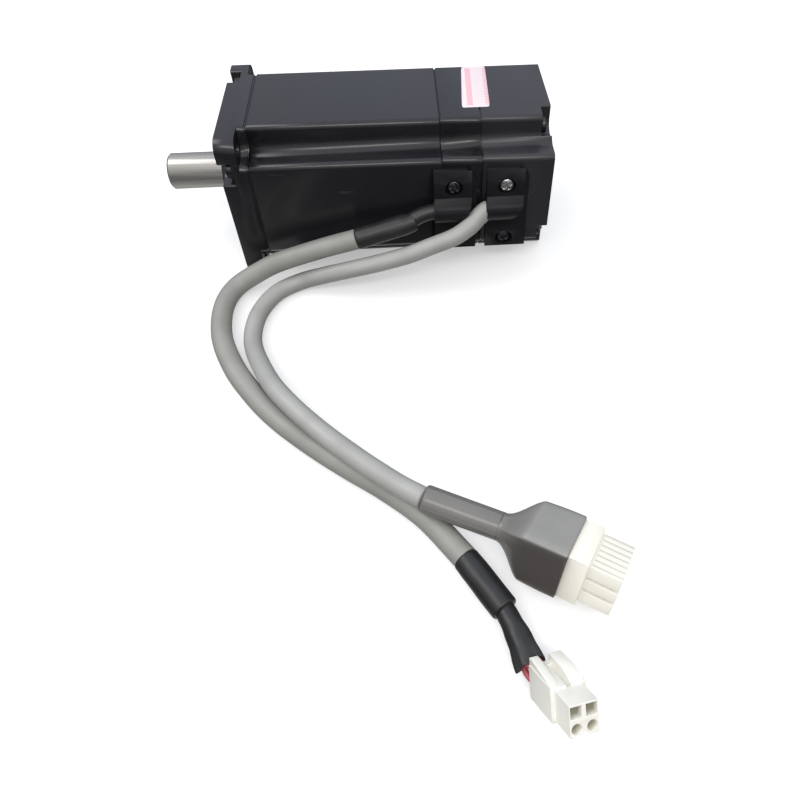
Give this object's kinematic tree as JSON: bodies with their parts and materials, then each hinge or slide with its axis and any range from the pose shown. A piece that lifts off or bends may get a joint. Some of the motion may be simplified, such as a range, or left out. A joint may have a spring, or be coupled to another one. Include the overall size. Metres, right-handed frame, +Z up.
{
  "type": "sewing machine motor",
  "caption": "Square-flange servo motor with a plain round shaft, encoder housing and two short cables that end in block connectors.",
  "frame": {"origin": "centre of the flange's front face, on the shaft axis", "axes": "-X along the shaft out of the flange, +X towards the encoder, +Z up with the motor lying on one side face, cable covers on the -Y face"},
  "size_m": [0.1516, 0.2436, 0.0603],
  "materials": {
    "black_paint": "satin black paint",
    "encoder_paint": "matt black paint",
    "cover_black": "satin black",
    "shaft_steel": "ground",
    "dark_screw": "black oxide",
    "bright_screw": "plated",
    "bearing_steel": "polished",
    "spring_steel": "satin",
    "cage_brass": "satin",
    "core_steel": "laminated",
    "magnet": "sintered",
    "coil_copper": "enamelled wire",
    "insulator": "moulded",
    "seal_rubber": "moulded",
    "board_green": "lacquered",
    "disc_glass": "polished",
    "sensor_black": "moulded",
    "lead_insulation": "extruded",
    "label": "satin film",
    "cable_gray": "extruded vinyl",
    "shrink_black": "shrunk tube",
    "boot_gray": "soft vinyl",
    "plug_nylon": "moulded nylon",
    "contact_metal": "tinned"
  },
  "bodies": {
    "housing": {"front_bracket": "black_paint", "bracket_screws": "dark_screw", "oil_seal": "seal_rubber", "front_bearing_outer": "bearing_steel", "rear_bearing_outer": "bearing_steel", "wave_washer": "spring_steel", "stator_housing": "black_paint", "stator_core": "core_steel", "end_insulators": "insulator", "stator_coils": "coil_copper", "rear_bracket": "black_paint", "rear_bracket_screws": "dark_screw", "encoder_board": "board_green", "read_head": "sensor_black", "board_connector": "plug_nylon", "board_screws": "bright_screw", "encoder_leads": "lead_insulation", "encoder_cover": "encoder_paint", "encoder_cover_screws": "dark_screw", "power_cable_cover": "cover_black", "encoder_cable_cover": "cover_black", "cable_cover_screws": "dark_screw", "power_grommet": "seal_rubber", "encoder_grommet": "seal_rubber", "power_leads": "lead_insulation", "data_label": "label", "power_lead_tube": "shrink_black", "power_exit_shrink": "shrink_black", "power_cable": "cable_gray", "power_end_shrink": "shrink_black", "power_end_tube": "shrink_black", "power_wires": "lead_insulation", "power_plug": "plug_nylon", "power_contacts": "contact_metal", "encoder_cable": "cable_gray", "plug_boot": "boot_gray", "encoder_plug": "plug_nylon", "encoder_contacts": "contact_metal"},
    "rotor": {"motor_shaft": "shaft_steel", "front_bearing_inner": "bearing_steel", "rear_bearing_inner": "bearing_steel", "rotor_core": "core_steel", "rotor_magnets": "magnet", "magnet_sleeve": "spring_steel", "encoder_hub": "shaft_steel", "encoder_disc": "disc_glass"},
    "front_ball_set": {"front_cage": "cage_brass", "front_balls": "bearing_steel"},
    "rear_ball_set": {"rear_cage": "cage_brass", "rear_balls": "bearing_steel"}
  },
  "joints": [
    {"name": "rotor_spin", "type": "hinge", "parent": "housing", "child": "rotor", "pos_m": [0, 0, 0], "axis": [1, 0, 0], "continuous": true},
    {"name": "front_cage_spin", "type": "hinge", "parent": "housing", "child": "front_ball_set", "pos_m": [0.0095, 0, 0], "axis": [1, 0, 0], "continuous": true},
    {"name": "rear_cage_spin", "type": "hinge", "parent": "housing", "child": "rear_ball_set", "pos_m": [0.0872, 0, 0], "axis": [1, 0, 0], "continuous": true}
  ],
  "couplings": [
    {"joint": "front_cage_spin", "follows": "rotor_spin", "ratio": 0.3987},
    {"joint": "rear_cage_spin", "follows": "rotor_spin", "ratio": 0.3678}
  ]
}
